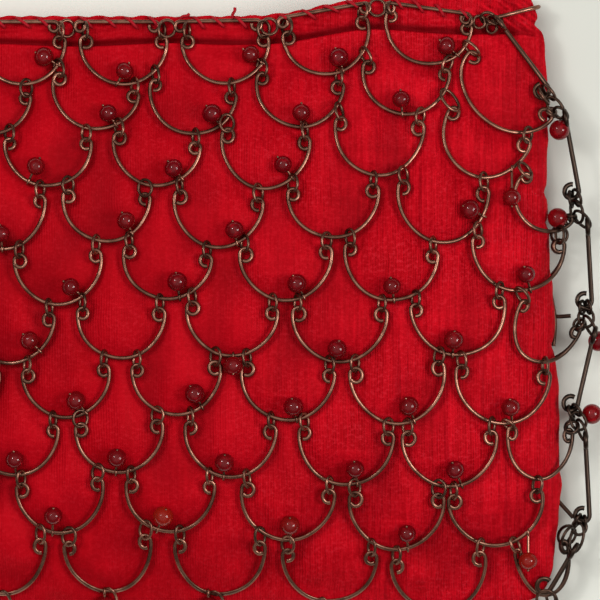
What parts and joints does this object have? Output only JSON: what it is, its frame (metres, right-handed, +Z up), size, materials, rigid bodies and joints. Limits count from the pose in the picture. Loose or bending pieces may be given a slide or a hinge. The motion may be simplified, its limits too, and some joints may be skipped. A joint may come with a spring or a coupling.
{
  "type": "beaded handbag",
  "caption": "Small padded red silk handbag lying flat, open at the mouth, wrapped in a scalloped net of bronze wire hoops with dark red beads.",
  "frame": {"origin": "centre of the bag's plan, at the table that it lies on", "axes": "+X across the bag to the right of the mouth, +Y towards the mouth, +Z up from the table through the front of the bag"},
  "size_m": [0.1852, 0.1474, 0.0303],
  "materials": {
    "silk": "slub silk with a soft sheen",
    "wire": "antique bronze, worn",
    "bead": "polished dark red glass"
  },
  "bodies": {
    "root": {"pouch": "silk", "front_net": "wire", "back_net": "wire", "front_rim": "wire", "back_rim": "wire", "right_chain": "wire", "left_chain": "wire", "right_rim_link": "wire", "left_rim_link": "wire", "bead_1_1": "bead", "bead_1_2": "bead", "bead_1_3": "bead", "bead_1_4": "bead", "bead_1_5": "bead", "bead_1_6": "bead", "bead_3_1": "bead", "bead_3_2": "bead", "bead_3_3": "bead", "bead_3_4": "bead", "bead_3_5": "bead", "bead_3_6": "bead", "bead_5_1": "bead", "bead_5_2": "bead", "bead_5_3": "bead", "bead_5_4": "bead", "bead_5_5": "bead", "bead_5_6": "bead", "bead_7_1": "bead", "bead_7_2": "bead", "bead_7_3": "bead", "bead_7_4": "bead", "bead_7_5": "bead", "bead_7_6": "bead", "bead_9_1": "bead", "bead_9_2": "bead", "bead_9_3": "bead", "bead_9_4": "bead", "bead_9_5": "bead", "bead_9_6": "bead", "right_bead_1": "bead", "left_bead_1": "bead", "right_bead_2": "bead", "left_bead_2": "bead", "right_bead_3": "bead", "left_bead_3": "bead", "right_bead_4": "bead", "left_bead_4": "bead"}
  },
  "joints": []
}
